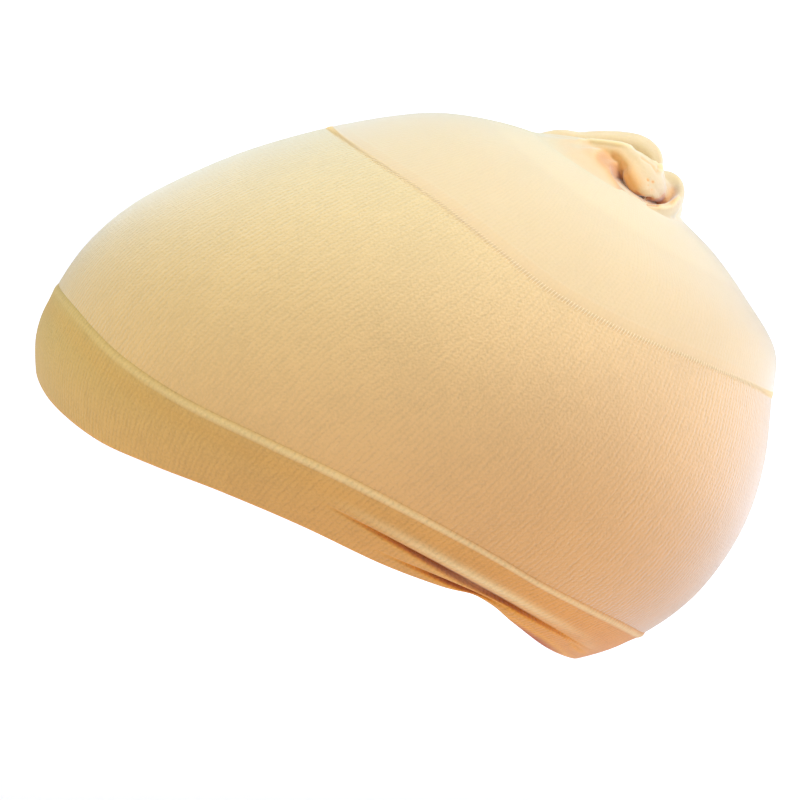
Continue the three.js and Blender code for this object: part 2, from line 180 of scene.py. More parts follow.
# Edges of the pieces, the same on both sides. around is in degrees from the front; seam is a
# share of SEAM_RISE, top and lower are shares of BAND_DROP, and tuck is a share of BAND_TUCK.
EDGES = table(
    "around seam top lower tuck",
    (0, 1.0, 0.02, -0.9, 0.12),
    (25, 0.997, 0.0, -1.0, 0.3),
    (45, 0.993, -0.104, -1.0, 0.5),
    (60, 0.986, -0.096, -0.88, 0.6),
    (75, 0.958, 0.012, -0.716, 0.6),
    (90, 0.926, 0.12, -0.584, 0.64),
    (105, 0.932, 0.172, -0.504, 0.7),
    (116, 0.953, 0.176, -0.408, 0.84),
    (124, 0.971, 0.16, -0.32, 1.0),
    (134, 0.986, 0.16, -0.4, 0.8),
    (148, 1.0, 0.144, -0.5, 0.5),
    (165, 1.0, 0.08, -0.536, 0.3),
    (180, 1.0, 0.06, -0.54, 0.3),
)

# Creases of the band. side is 1 for the wearer's left; from, peak and to are degrees from the
# front; start, middle and end are heights as shares of BAND_DROP; depth, width and lip are shares
# of CREASE_DEPTH, CREASE_WIDTH and CREASE_LIP; shade is how dark the painted shade in its depth is.
CREASES = table(
    "side from peak to start middle end depth width lip shade",
    (1, 88, 118, 162, -0.25, -0.207, -0.33, 1.0, 1.0, 1.0, 1.0),
    (1, 98, 118, 132, -0.41, -0.32, -0.26, 0.8, 0.85, 0.5, 0.95),
    (1, 120, 142, 172, -0.3, -0.47, -0.56, 0.3, 1.9, 0.0, 1.0),
    (1, 141, 152, 163, -0.25, -0.33, -0.4, 0.14, 0.6, 0.3, 0.5),
    (-1, 90, 120, 158, -0.25, -0.2, -0.3, 0.86, 1.0, 0.8, 0.9),
    (-1, 102, 120, 134, -0.39, -0.32, -0.27, 0.5, 0.8, 0.4, 0.7),
)

# The knot's folds. side, back and rise place a fold's centre line from the middle of the neck;
# half and tall are the half thickness and half height of its section, and lean turns its height
# from upright towards the wearer's left, in degrees.
KNOT_FOLDS = {
    "flap": table(
        "side back rise half tall lean",
        (-3, -29, -4, 0.8, 1.2, 0),
        (-3, -24.5, -1.6, 1.8, 2.4, -4),
        (-4, -20.5, 0.4, 2.3, 3, -8),
        (-5, -15.5, 1.6, 2.8, 3.6, -8),
        (-6, -10.5, 4, 3, 4.2, -8),
        (-6, -5.5, 6.5, 3, 4.4, -8),
        (-5.5, -1.4, 7.9, 3, 4.6, -6),
        (-3.5, 2.2, 7.6, 2.9, 4.4, -2),
        (-1, 4.6, 5.2, 2.6, 4, 0),
        (0.5, 6, 1.5, 2, 3, 0),
    ),
    "roll": table(
        "side back rise half tall lean",
        (2, -21, 0, 0.8, 1.2, -40),
        (4.2, -16, 1.6, 1.8, 2.2, -40),
        (6.2, -12.6, 2.9, 2.1, 2.6, -40),
        (8, -9, 4.1, 2.4, 3, -42),
        (9.2, -6, 5.2, 2.4, 3, -44),
        (10.4, -3.6, 4.9, 2.5, 3.2, -45),
        (11.6, -1.2, 4.5, 2.7, 4.2, -45),
        (12.6, 1.4, 3.4, 3.2, 6.8, -45),
        (12.9, 4, 2.6, 3.5, 8, -44),
        (12.2, 6.8, 1.9, 3.2, 7, -42),
        (11, 9.6, 1, 1.8, 4, -38),
    ),
    "collar": table(
        "side back rise half tall lean",
        (20.5, -3.4, -4.4, 0.8, 1, 10),
        (21.2, 0, -5, 1, 1.7, 10),
        (21.6, 3, -5.4, 1.1, 2.2, 10),
        (20.4, 6, -4.8, 1.2, 2.5, 8),
        (18.4, 9, -3.9, 1.3, 2.8, 4),
        (15.4, 11.6, -2.4, 1.5, 3.2, 0),
        (11.4, 12.8, 0.4, 1.7, 3.8, 0),
        (7.4, 11.6, 2.8, 2, 4, -5),
        (3.6, 9.4, 4.4, 2.4, 4.2, -10),
        (-0.6, 7, 4.6, 2.4, 4, -10),
        (-4, 4.6, 3.4, 1.6, 3, -10),
    ),
}
# Pleats along each fold, for its cloth is gathered: how many go round it, how deep they are as a
# share of its half thickness, and how far they wind round it from end to end, in radians.
FOLD_PLEATS = {
    "flap": {"count": 5, "depth": 0.06, "wind": 1.0},
    "roll": {"count": 6, "depth": 0.07, "wind": 1.6},
    "collar": {"count": 4, "depth": 0.06, "wind": 2.0},
}
# Rounded bodies of the knot: their middles from the middle of the neck, their half sizes across,
# along and up, and how far they are turned down towards the back, in degrees.
KNOT_BODIES = {
    "core": {"side": 2, "back": -2, "rise": -2, "across": 11, "along": 14, "up": 6.5, "turn": 0},
    "heel": {"side": 4, "back": 8.5, "rise": -2, "across": 9, "along": 8, "up": 7.6, "turn": 8},
    "pit": {"side": 18, "back": -2.8, "rise": 2.2, "across": 5.6, "along": 9, "up": 4, "turn": 34},
    "cup": {"side": 16.5, "back": 8.4, "rise": 0.6, "across": 5, "along": 4, "up": 4, "turn": 0},
}
KNOT_HOLLOWS = ("pit", "cup")  # the bodies that are cut away from the knot
# The knot's foot, where the panel's cloth rises into it: its middle, half sizes and height.
FOOT = {"side": 2, "back": -5, "across": 21.5, "along": 23.5, "lift": 5.6}
# Fine lines of the knot on its left side, through points by back and rise in millimetres: width is
# half of what one covers, push is how deep it is, or with a minus how far it stands out, dark
# is its painted shade and pale its painted highlight.
KNOT_LINES = table(
    "width push dark pale points",
    (0.55, -0.45, 0.0, 0.8, (
        (-17, 3), (-13.3, 4.6), (-9.8, 6.2), (-6.9, 7.4), (-4.1, 8.1), (-1, 8.5), (1.8, 8.4),
        (4.1, 7.7), (5.3, 6.6),
    )),
    (0.4, 0.35, 0.25, 0.0, ((-1, 7), (2, 6.9), (4.2, 5.8))),
    (0.45, 1.2, 0.9, 0.0, ((2.2, -3.4), (4.4, -2), (6.4, -0.9))),
    (1.1, 0.4, 0.9, 0.0, ((-2.2, -1.2), (-0.8, -2.6), (0.4, -3.7))),
    (0.5, -0.3, 0.0, 0.7, (
        (0.3, -4.5), (2.6, -3.9), (5.3, -3.4), (8, -2.2), (10.5, -1.1), (12, 0.3), (12.6, 2.9),
    )),
    (0.4, 0.4, 0.25, 0.0, ((0.6, 12), (2.6, 10), (4.4, 6.4))),
    (0.4, -0.3, 0.0, 0.6, ((1.6, 12), (3.6, 10.2), (5.2, 6.6))),
    (0.3, 0.1, 0.8, 0.0, ((3.1, 2.9), (3.2, 2.9))),
    (0.3, 0.1, 0.8, 0.0, ((4.5, 3.1), (4.6, 3.1))),
    (0.28, 0.1, 0.35, 0.0, ((3.9, 1.7), (4, 1.7))),
    (0.28, 0.1, 0.35, 0.0, ((5.3, 1.2), (5.4, 1.2))),
    (0.6, 0.12, 0.2, 0.0, ((-11, 2.8), (-11.8, 1.4), (-12.8, 0.4))),
    (0.9, 0.12, 0.06, 0.0, ((-23, 0.4), (-18, 1.2), (-14, 1.4))),
    (0.9, 0.12, 0.06, 0.0, ((-20, -1), (-16, 0), (-12, 0.2))),
    (2.4, 0.0, 0.68, 0.0, ((-9.7, 1.8), (-6.9, 1.1), (-2.7, -1), (-0.1, -2.9))),
    (2.8, 0.0, 0.46, 0.0, ((-6.8, 3), (-2.8, 1.8), (0.4, 0))),
    (2.4, 0.0, 0.24, 0.0, ((-14, 1.6), (-11.5, 0.4))),
    (3, 0.0, 0.14, 0.0, ((-19, 0), (-14.7, -1.6), (-10, -2.4), (-7, -3))),
    (1.2, 0.0, 0.16, 0.0, ((3.4, -0.6), (5.4, 0.6))),
    (0.7, 0.6, 0.9, 0.0, ((3.4, -3.6), (6.2, -2.6), (8.4, -1.6))),
    (1.2, 0.0, 0.4, 0.0, ((10.6, 3.8), (11.2, 1.6))),
)
ROOF_REACH = 4.5  # how many sections below the neck the knot's foot reaches at most
FOOT_EDGE = 1.04  # how far the foot runs on under the panel, as a share of its half sizes
FOOT_DEPTH = 2.5  # how deep the foot's underside is below the panel's face
SEAT_OVER = 0.05  # how far the knot lies over the panel
SEAT_SUNK = 0.2  # how far its rim is let into the panel
SEAT_THIN = 0.05  # what is left between the knot's upper and lower faces where it runs out
SEAT_RIM = (0.97, 0.12)  # where the rim starts and how wide it is, as shares of the foot's half sizes
STEM_RADIUS = NECK_RADIUS - 0.3
# Painted shade in the knot's hollows, from how much nearby cloth shades each point
SHADE_RAYS = 14  # rays that look from each point of the knot for cloth that shades it
SHADE_REACH = 8
SHADE_START = 0.3  # how far in front of the cloth a ray starts
SHADE_FROM = 0.12  # the shaded share from which a hollow gets amber painted shade
SHADE_SPAN = 0.42
SHADE_TONE = 0.95
KNOT_VOXEL = 0.4
FOLD_COLUMNS = 40
FOLD_ROWS = 90
FOOT_COLUMNS = 120
FOOT_ROWS = 40

# The seam's stitches
STITCH_ARCH = 0.45  # how high a stitch arches, in thicknesses of its thread
STITCH_END = 0.04  # the share of a stitch that tapers at each end
STITCH_ROWS = 6
STITCH_SIDES = 6

# The stage, in metres. The lights are placed from the middle of the cap.
PHOTO_PIXELS = 800
PIXEL_SIZE = 0.2635 * MM  # at the cap
SENSOR_WIDTH = 36  # millimetres
CAMERA_DISTANCE = 1.0
CAMERA_RISE = 5  # degrees that the camera looks down
CAP_MIDDLE = Vector((0, -0.0085, -0.0745))
LIGHTS = table(
    "name offset size power colour",
    ("key_softbox", (0.2, 1.2, 1.5), 1.0, 41, "f0f2ff"),
    ("front_fill", (0.35, -1.3, 1.6), 1.0, 20, "fff694"),
)
AIR_COLOUR = (1.0, 0.98, 0.95, 1.0)
AIR_LIGHT = 0.02
FLOOR_LEVEL = -0.29
FLOOR_RADIUS = 3.2
FLOOR_SWEEP = 1.0  # the radius of the curve up into the backdrop
FLOOR_RINGS = (1.6, 1.0, 0.5, 0.2, 0.0)
BACKDROP_TOP = 2.6
GLOW_REACH = (0.5, 1.2)  # the floor's own light, from near the cap to far from it
GLOW = (0.06, 0.55)
DIM_LEVEL = (0.2, 0.8)  # the levels between which that light dims to its lowest share
DIM_SHARE = 0.2


def srgb(code):
    """A colour given as sRGB hex, in linear light with full alpha."""
    shares = [int(code[i : i + 2], 16) / 255 for i in (0, 2, 4)]
    return [s / 12.92 if s <= 0.04045 else ((s + 0.055) / 1.055) ** 2.4 for s in shares] + [1.0]


def colour_property(name, code, description):
    return bpy.props.FloatVectorProperty(
        name=name, description=description, subtype="COLOR", size=4, min=0, max=1, default=srgb(code)
    )


def size_property(name, millimetres, description):
    return bpy.props.FloatProperty(
        name=name, description=description, default=millimetres * MM,
        min=0.1 * MM, max=4 * MM, subtype="DISTANCE", unit="LENGTH",
    )


class CapFinish(bpy.types.PropertyGroup):
    """Colours of the cap's cloth, its thread and the stage."""

    # Each knit's first colour is its own. Its second is a painted highlight that makes it paler higher up,
    # where the light falls.
    crown_colour: colour_property("Crown, low", "d68e35", "Nylon knit of the crown, low on the cap")
    crown_painted_highlight: colour_property("Crown, painted highlight", "d6c38f", "The same knit, painted paler at the top as highlight")
    panel_colour: colour_property("Panel, low", "d0a452", "Finer nylon knit above the seam, low on the cap")
    panel_painted_highlight: colour_property("Panel, painted highlight", "d6c096", "The same knit, painted paler at the top as highlight")
    band_colour: colour_property("Band, low", "d88c3f", "Doubled rib knit of the elastic band")
    band_painted_highlight: colour_property("Band, painted highlight", "afaf73", "The same knit, painted paler at the front as highlight")
    # Painted shade: cloth in creases and hollows turns amber, then brown, as its dark attribute rises.
    amber_shade_colour: colour_property("Painted hollow shade", "e39b34", "Painted shade in a hollow, amber as if lit through other cloth")
    deep_shade_colour: colour_property("Painted deep shade", "b04e0e", "Painted shade deep in a crease or hollow")
    # Painted highlight on the welt, the crease lips and the knot's ridges, also the paler toe knit round the
    # knot
    toe_and_highlight_colour: colour_property("Toe and painted highlights", "efd9a4", "Paler toe knit round the knot, and painted highlight on the welt, crease lips and knot ridges")
    sheen_colour: colour_property("Sheen", "e4f4fa", "Tint of the yarn's soft sheen")
    thread_colour: colour_property("Thread", "e9d3a4", "Overlock thread of the seams")
    floor_colour: colour_property("Floor", "e8e9f6", "Floor and backdrop")


class CapSizes(bpy.types.PropertyGroup):
    """Sizes of the knit and of the sewing."""

    wale_pitch: size_property("Wale pitch", 1.42, "Width of one column of knit loops over the band")
    course_pitch: size_property("Course pitch", 1.22, "Height of one row of knit loops")
    stitch_pitch: size_property("Stitch pitch", 0.86, "From one stitch of the crown seam to the next")
    stitch_length: size_property("Stitch length", 2.0, "Length of an overlock stitch across the seam")
    thread_width: size_property("Thread", 0.24, "Thickness of the sewing thread")


# Shapes


def read_table(rows, key, at, column, flat=False):
    """A table's column at places between its rows, on a smooth curve through them."""
    keys = np.array([row[key] for row in rows], float)
    values = np.array([row[column] for row in rows], float)
    last = len(rows) - 1
    ahead = np.minimum(np.arange(last + 1) + 1, last)
    behind = np.maximum(np.arange(last + 1) - 1, 0)
    slopes = (values[ahead] - values[behind]) / (keys[ahead] - keys[behind])
    if flat:
        slopes[[0, last]] = 0
    i = np.clip(np.searchsorted(keys, at, side="right") - 1, 0, last - 1)
    span = keys[i + 1] - keys[i]
    u = (at - keys[i]) / span
    bend = u * u * (3 - 2 * u)
    ease = span * (slopes[i] * u * (1 - u) ** 2 - slopes[i + 1] * u * u * (1 - u))
    return values[i] + (values[i + 1] - values[i]) * bend + ease


def fade(share):
    share = np.clip(share, 0, 1)
    return share * share * (3 - 2 * share)


def bell(offset, width):
    return np.exp(-((offset / width) ** 2))


def lerp(low, high, share):
    return low + (high - low) * share


def unit(vectors):
    return vectors / np.linalg.norm(vectors, axis=-1, keepdims=True)


def place_of(height):
    """The place in the table of sections that is this high, from level 0."""
    return LEVEL_SECTION + height / (SECTION_STEP * CROWN_RISE)


def crown_point(around, place):
    """Points of the head-hugging form, with the gathers that run into the knot."""
    around, place = np.broadcast_arrays(np.asarray(around, float), np.asarray(place, float))
    value = {c: read_table(SECTIONS, "place", place, c) for c in SECTIONS[0] if c != "place"}
    front, back = value["front"] * HALF_LENGTH, value["back"] * HALF_LENGTH
    fill = 1 + value["square"] * np.sin(2 * around) ** 2
    narrowing = 1 - value["egg"] * np.cos(around)
    height = value["level"] * CROWN_RISE
    for gather in GATHERS:
        strength = gather["depth"] * fade((place - NECK_SECTION) / gather["reach"] + 1)
        height = height + strength * np.cos(gather["count"] * around + gather["turn"])
    return np.stack(
        [
            value["side"] * HALF_WIDTH * np.sin(around) * narrowing * fill,
            (front + back) / 2 - (back - front) / 2 * np.cos(around) * fill,
            height,
        ],
        axis=-1,
    )


def turn_from_front(around):
    return (np.degrees(around) + 180) % 360 - 180


def edge_value(around, column):
    return read_table(EDGES, "around", np.abs(turn_from_front(around)), column, flat=True)


def seam_place(around):
    return place_of(edge_value(around, "seam") * SEAM_RISE)


def band_top_place(around):
    return place_of(edge_value(around, "top") * BAND_DROP)


def creases_at(around, height, spread=0.0):
    """How far the creases push the band in, how dark the painted shade in them is, and how far the
    painted highlight on their lips reaches. spread widens them and leaves out the lips, for the inner layer."""
    push, dark, pale = np.zeros((3, *np.shape(height)))
    for crease in CREASES:
        along = (crease["side"] * turn_from_front(around) - crease["from"]) / (crease["to"] - crease["from"])
        inside = np.clip(along, 0, 1)
        peak = (crease["peak"] - crease["from"]) / (crease["to"] - crease["from"])
        strength = np.sin(np.pi * inside ** (math.log(0.5) / math.log(peak))) ** CREASE_SPREAD
        bow = 4 * crease["middle"] - 2 * (crease["start"] + crease["end"])
        line = lerp(crease["start"], crease["end"], inside) + bow * inside * (1 - inside)
        above = height - line * BAND_DROP
        width = crease["width"] * CREASE_WIDTH * lerp(CREASE_THIN, 1, strength)
        width = width * np.where(above > 0, CREASE_EDGE, 1)
        notch = strength * bell(above, width + spread)
        # the lip above a crease stands out and gets painted highlight
        lip = strength * crease["lip"] * bell(above - LIP_OFFSET, LIP_WIDTH)
        push += crease["depth"] * CREASE_DEPTH * notch - (CREASE_LIP * lip if spread == 0 else 0)
        # painted shade along the crease, wider than its notch
        dark = np.maximum(dark, crease["shade"] * strength * bell(above, CREASE_SHADE_SPREAD * width))
        pale = np.maximum(pale, lip)
    return push, dark, pale


def band_edges(around):
    return tuple(edge_value(around, column) * BAND_DROP for column in ("lower", "top"))


def band_face(around, up, spread=0.0):
    """Points of the band's face, at a share of the way up from its lower edge."""
    around, up = np.broadcast_arrays(np.asarray(around, float), np.asarray(up, float))
    height = lerp(*band_edges(around), up)
    point = crown_point(around, place_of(height))
    inward = unit(-point * [1, 1, 0])
    tuck = edge_value(around, "tuck") * BAND_TUCK * np.maximum(1 - up, 0) ** TUCK_CURVE
    push = tuck + creases_at(around, height, spread)[0]
    return point + inward * np.asarray(push)[..., None]


def crown_face(low_edge, high_edge):
    """The face of a crown piece between two edges, as a function of around and the share up."""

    def face(around, up, spread=0.0):
        return crown_point(around, lerp(low_edge(around), high_edge(around), up))

    return face


def normal_at(face, around, up, spread=0.0):
    step = 1e-3
    across = face(around + step, up, spread) - face(around - step, up, spread)
    along = face(around, up + step, spread) - face(around, up - step, spread)
    return unit(np.cross(across, along))


def tilted(points):
    """Points of the cap's own frame, leaned back."""
    c, s = math.cos(math.radians(CAP_TILT)), math.sin(math.radians(CAP_TILT))
    x, y, z = np.moveaxis(np.asarray(points, float), -1, 0)
    return np.stack([x, y * c + z * s, z * c - y * s], axis=-1)


# Turns directions of the shared frame, as rows, into the cap's own frame
TILT_TURN = tilted(np.eye(3)).T


def head_seat():
    """Where the top of the head meets the inside of the crown, in the leaned-back frame."""
    place = np.linspace(LEVEL_SECTION, NECK_SECTION, SEAT_STEPS + 1)
    whole = crown_face(lambda a: np.full_like(a, LEVEL_SECTION), lambda a: np.full_like(a, NECK_SECTION))
    share = (place - LEVEL_SECTION) / (NECK_SECTION - LEVEL_SECTION)
    around = np.zeros_like(share)
    inner = tilted(whole(around, share) - KNIT_WALL * normal_at(whole, around, share))
    return inner[np.argmax(inner[:, 2])]


SEAT = head_seat()


def to_frame(points):
    """Points of the cap's own frame in millimetres, as metres of the shared frame."""
    return (tilted(points) - SEAT) * MM


def wall_section(wall, rows_up, low_round, high_round):
    """The rows of a closed wall: up outside, over the top, down inside and under. Each has the
    share of the face's height, how far it is in from that end, and its depth below the face."""
    turns = np.linspace(0, np.pi / 2, ROLL_STEPS)[1:]
    rows = [(u, 0.0, 0.0) for u in rows_up]
    rows += [(1.0, high_round * math.sin(t), high_round * (1 - math.cos(t))) for t in turns]
    rows += [(1.0, high_round * math.cos(t), wall - high_round * (1 - math.sin(t))) for t in turns]
    rows += [(u, 0.0, wall) for u in np.linspace(1, 0, ROWS_IN + 1)[1:]]
    rows += [(0.0, -low_round * math.sin(t), wall - low_round * (1 - math.cos(t))) for t in turns]
    rows += [(0.0, -low_round * math.cos(t), low_round * (1 - math.sin(t))) for t in turns]
    return np.array(rows).T[:, :, None]


# Modelling


def select_only(*objects):
    bpy.ops.object.select_all(action="DESELECT")
    for o in objects:
        o.select_set(True)
    bpy.context.view_layer.objects.active = objects[0]


def edit_all(*steps):
    """Runs mesh operators in edit mode on the whole of the active object."""
    bpy.ops.object.mode_set(mode="EDIT")
    bpy.ops.mesh.select_all(action="SELECT")
    for step in steps:
        step()
    bpy.ops.object.mode_set(mode="OBJECT")


def merge_meeting_points():
    bpy.ops.mesh.remove_doubles(threshold=MERGE_REACH)


def grid_piece(name, points, uv=(0.0, 0.0), tones=()):
    """A grid primitive whose rows and columns are moved onto points. uv is its UV map, and tones
    are the values of its attributes by name, all by row and column."""
    rows, columns = points.shape[0] - 1, points.shape[1] - 1
    bpy.ops.object.select_all(action="DESELECT")
    bpy.ops.mesh.primitive_grid_add(x_subdivisions=columns, y_subdivisions=rows, size=2)
    piece = bpy.context.object
    piece.name = piece.data.name = name
    mesh = piece.data
    flat = np.empty(len(mesh.vertices) * 3)
    mesh.vertices.foreach_get("co", flat)
    flat = (flat.reshape(-1, 3) + 1) / 2
    column = np.rint(flat[:, 0] * columns).astype(int)
    row = np.rint(flat[:, 1] * rows).astype(int)
    mesh.vertices.foreach_set("co", points[row, column].ravel())
    corner = np.empty(len(mesh.loops), int)
    mesh.loops.foreach_get("vertex_index", corner)
    uv = [np.broadcast_to(share, points.shape[:2])[row, column][corner] for share in uv]
    mesh.uv_layers.active.data.foreach_set("uv", np.stack(uv, axis=-1).ravel())
    for tone, values in dict(tones).items():
        shade = mesh.attributes.new(tone, "FLOAT", "POINT")
        shade.data.foreach_set("value", np.broadcast_to(values, points.shape[:2])[row, column])
    mesh.update()
    select_only(piece)
    edit_all(merge_meeting_points)
    bpy.ops.object.shade_smooth()
    return piece


def cloth_wall(name, face, wall, rows_up, dress, inner_spread=0.0, rounds=(EDGE_ROUND, EDGE_ROUND)):
    """A ring of cloth round the cap, with a wall below its face and rounded edges. dress gives how
    far the outside stands out, how dark it is, with painted shade and at the seam with doubled cloth,
    and how pale with painted highlight, from the turn round the cap, the share up, and the distances
    to the lower and the upper edge."""
    around = np.linspace(0, 2 * np.pi, CLOTH_COLUMNS + 1)[None, :]
    steps = np.diff(face(around, np.linspace(0, 1, HEIGHT_STEPS)[:, None]), axis=0)
    height = np.linalg.norm(steps, axis=-1).sum(axis=0)[None, :]
    share, past, depth = wall_section(wall, rows_up, *rounds)
    along = lerp(JOIN_GAP + rounds[0], height - JOIN_GAP - rounds[1], share) + past
    up = along / height
    outer = face(around, up)
    inner = face(around, up, inner_spread) if inner_spread else outer
    outside = 1 - fade(depth / wall)
    shown = np.minimum(2 * outside, 1)
    stand, dark, pale = dress(around, up, along, height - along)
    normal = normal_at(face, around, up, inner_spread)
    points = lerp(inner, outer, outside[..., None]) + normal * (stand * outside - depth)[..., None]
    uv = (around / (2 * np.pi), along / UV_HEIGHT)
    return grid_piece(name, to_frame(points), uv, {"dark": dark * shown, "pale": pale * shown})


# Materials


def add_node(tree, kind, inputs=(), **settings):
    """Adds a node with its settings. An input is a value, or a node or an output to link."""
    node = tree.nodes.new(kind)
    for name, value in settings.items():
        setattr(node, name, value)
    for key, value in dict(inputs).items():
        if isinstance(value, bpy.types.Node):
            tree.links.new(value.outputs[0], node.inputs[key])
        elif isinstance(value, bpy.types.NodeSocket):
            tree.links.new(value, node.inputs[key])
        else:
            node.inputs[key].default_value = value
    return node


def new_material(name):
    material = bpy.data.materials.new(name)
    material.use_nodes = True
    tree = material.node_tree
    tree.nodes.clear()
    return material, tree


def knit_height(tree, place, wales, courses):
    """The relief of a jersey knit on a UV map: ribs of loops that run up the cloth, each loop a
    shallow V, and the uneven draw of the yarn along the ribs. Nylon yarn of this weight knits about
    twice as fine as this, and is drawn coarser so that it shows."""
    drift = add_node(tree, "ShaderNodeTexNoise", {"Vector": place.outputs["Object"], "Scale": LOOP_NOISE})
    shift = add_node(
        tree, "ShaderNodeVectorMath", {0: drift, 1: (LOOP_DRIFT, LOOP_DRIFT, 0)}, operation="MULTIPLY"
    )
    loops = add_node(
        tree, "ShaderNodeVectorMath", {0: place.outputs["UV"], 1: (wales, courses, 0), 2: shift},
        operation="MULTIPLY_ADD",
    )
    split = add_node(tree, "ShaderNodeSeparateXYZ", {0: loops})
    leg = add_node(tree, "ShaderNodeMath", {0: split.outputs[0], 1: 0.5}, operation="PINGPONG")
    slant = add_node(tree, "ShaderNodeMath", {0: split.outputs[1], 1: leg}, operation="ADD")
    turn = add_node(tree, "ShaderNodeMath", {0: slant, 1: 2 * math.pi}, operation="MULTIPLY")
    loop = add_node(tree, "ShaderNodeMath", {0: turn}, operation="SINE")
    arch = add_node(tree, "ShaderNodeMath", {0: leg, 1: math.pi}, operation="MULTIPLY")
    rib = add_node(tree, "ShaderNodeMath", {0: arch}, operation="SINE")
    along = add_node(tree, "ShaderNodeVectorMath", {0: loops, 1: DRAW_STRETCH}, operation="MULTIPLY")
    draw = add_node(tree, "ShaderNodeTexNoise", {"Vector": along, "Scale": 1.0})
    ribbed = add_node(tree, "ShaderNodeMath", {0: rib, 1: RIB_SHARE}, operation="MULTIPLY")
    looped = add_node(tree, "ShaderNodeMath", {0: loop, 1: LOOP_SHARE, 2: ribbed}, operation="MULTIPLY_ADD")
    return add_node(tree, "ShaderNodeMath", {0: draw, 1: DRAW_SHARE, 2: looped}, operation="MULTIPLY_ADD")


def cloth_tone(tree, place, finish, colours, toe):
    """The cloth's colour: paler high on the cap with painted highlight, amber to brown with painted shade
    as its dark attribute rises, and paler with painted highlight where its pale one does, or within the
    toe round the knot."""
    dark = add_node(tree, "ShaderNodeAttribute", attribute_name="dark").outputs["Fac"]
    pale = add_node(tree, "ShaderNodeAttribute", attribute_name="pale").outputs["Fac"]
    if toe:
        knot = [float(v) for v in to_frame(np.array([0, NECK_BACK, CROWN_RISE]))]
        reach = add_node(
            tree, "ShaderNodeVectorMath", {0: place.outputs["Object"], 1: knot}, operation="DISTANCE"
        ).outputs["Value"]
        near = add_node(
            tree, "ShaderNodeMapRange",
            {"Value": reach, "From Min": TOE_RADIUS * MM, "From Max": (TOE_RADIUS - TOE_SLOPE) * MM,
             "To Min": 0.0, "To Max": TOE_PALE},
        )
        pale = add_node(tree, "ShaderNodeMath", {0: pale, 1: near}, operation="MAXIMUM")
    # painted highlight: the knit turns paler from this level up to the top, where the light falls
    level = add_node(tree, "ShaderNodeSeparateXYZ", {0: place.outputs["Object"]}).outputs[2]
    drawn = add_node(
        tree, "ShaderNodeMapRange", {"Value": level, "From Min": HIGHLIGHT_FROM * MM, "From Max": 0.0}
    )
    # painted shade: the dark attribute turns the cloth amber, then brown
    warmed = add_node(tree, "ShaderNodeMapRange", {"Value": dark, "From Min": 0.0, "From Max": AMBER_FULL})
    deep = add_node(tree, "ShaderNodeMapRange", {"Value": dark, "From Min": DEEP_FROM, "From Max": 1.0})
    tone = list(colours[0])
    for share, colour in (
        (drawn, colours[1]),
        (warmed, finish.amber_shade_colour),
        (deep, finish.deep_shade_colour),
        (pale, finish.toe_and_highlight_colour),
    ):
        mixed = add_node(tree, "ShaderNodeMix", {0: share, 6: tone, 7: list(colour)}, data_type="RGBA")
        tone = mixed.outputs[2]
    return tone


def nylon_knit(
    name, finish, colours, wales=0, courses=0, relief=0.55, contrast=0.22, toe=False, soft=0.0, sheen=0.8
):
    """Nylon and elastane jersey, knitted on fine needles and heat set: its loops give the eye faint
    ribs and a soft, pale bloom, and its hollows are amber, partly from light that spreads inside it
    and partly from amber painted shade."""
    material, tree = new_material(name)
    place = add_node(tree, "ShaderNodeTexCoord")
    if wales:
        height = knit_height(tree, place, wales, courses)
    else:
        height = add_node(
            tree, "ShaderNodeTexNoise",
            {"Vector": place.outputs["Object"], "Scale": FINE_NOISE, "Detail": 3.0},
        )
    patch = add_node(
        tree, "ShaderNodeTexNoise",
        {"Vector": place.outputs["Object"], "Scale": PATCH_NOISE, "Detail": 4.0, "Roughness": 0.55},
    )
    fuzz = add_node(tree, "ShaderNodeTexNoise", {"Vector": place.outputs["Object"], "Scale": FUZZ_NOISE})
    strength = add_node(
        tree, "ShaderNodeMapRange",
        {"Value": patch, "From Min": 0.3, "From Max": 0.7, "To Min": 0.55, "To Max": 1.15},
    )
    height = add_node(tree, "ShaderNodeMath", {0: height, 1: strength}, operation="MULTIPLY")
    height = add_node(tree, "ShaderNodeMath", {0: fuzz, 1: FUZZ_SHARE, 2: height}, operation="MULTIPLY_ADD")
    shade = add_node(
        tree, "ShaderNodeMapRange",
        {
            "Value": height, "From Min": 0.0, "From Max": KNIT_PEAK,
            "To Min": 1 - contrast, "To Max": 1 + contrast / 3,
        },
    )
    tone = cloth_tone(tree, place, finish, colours, toe)
    grey = add_node(tree, "ShaderNodeCombineColor", {0: shade, 1: shade, 2: shade})
    tint = add_node(
        tree, "ShaderNodeMix", {0: 1.0, 6: tone, 7: grey}, data_type="RGBA", blend_type="MULTIPLY"
    ).outputs[2]
    bump = add_node(
        tree, "ShaderNodeBump", {"Strength": relief, "Distance": KNIT_BUMP * MM, "Height": height}
    )
    surface = add_node(
        tree, "ShaderNodeBsdfPrincipled",
        {
            "Base Color": tint,
            "Normal": bump,
            "Roughness": 0.8,
            "Specular IOR Level": 0.3,
            "Sheen Weight": sheen,
            "Sheen Roughness": 0.6,
            "Sheen Tint": list(finish.sheen_colour),
            "Subsurface Weight": soft,
            "Subsurface Radius": (1.0, 0.6, 0.2),
            "Subsurface Scale": SOFT_REACH * MM,
        },
    )
    add_node(tree, "ShaderNodeOutputMaterial", {"Surface": surface})
    return material


def loop_counts(context):
    """How many wales go round the cap, and how many courses one unit of the UV map covers."""
    sizes = context.scene.cap_sizes
    return round(CLOTH_GIRTH / sizes.wale_pitch), round(UV_HEIGHT * MM / sizes.course_pitch)


def finish_cloth(piece, material, slot, *nodes):
    """Gives a piece its cloth and its place in the part."""
    piece.data.materials.clear()
    piece.data.materials.append(material)
    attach(piece, "root")
    if nodes:
        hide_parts(*nodes)


# Operators


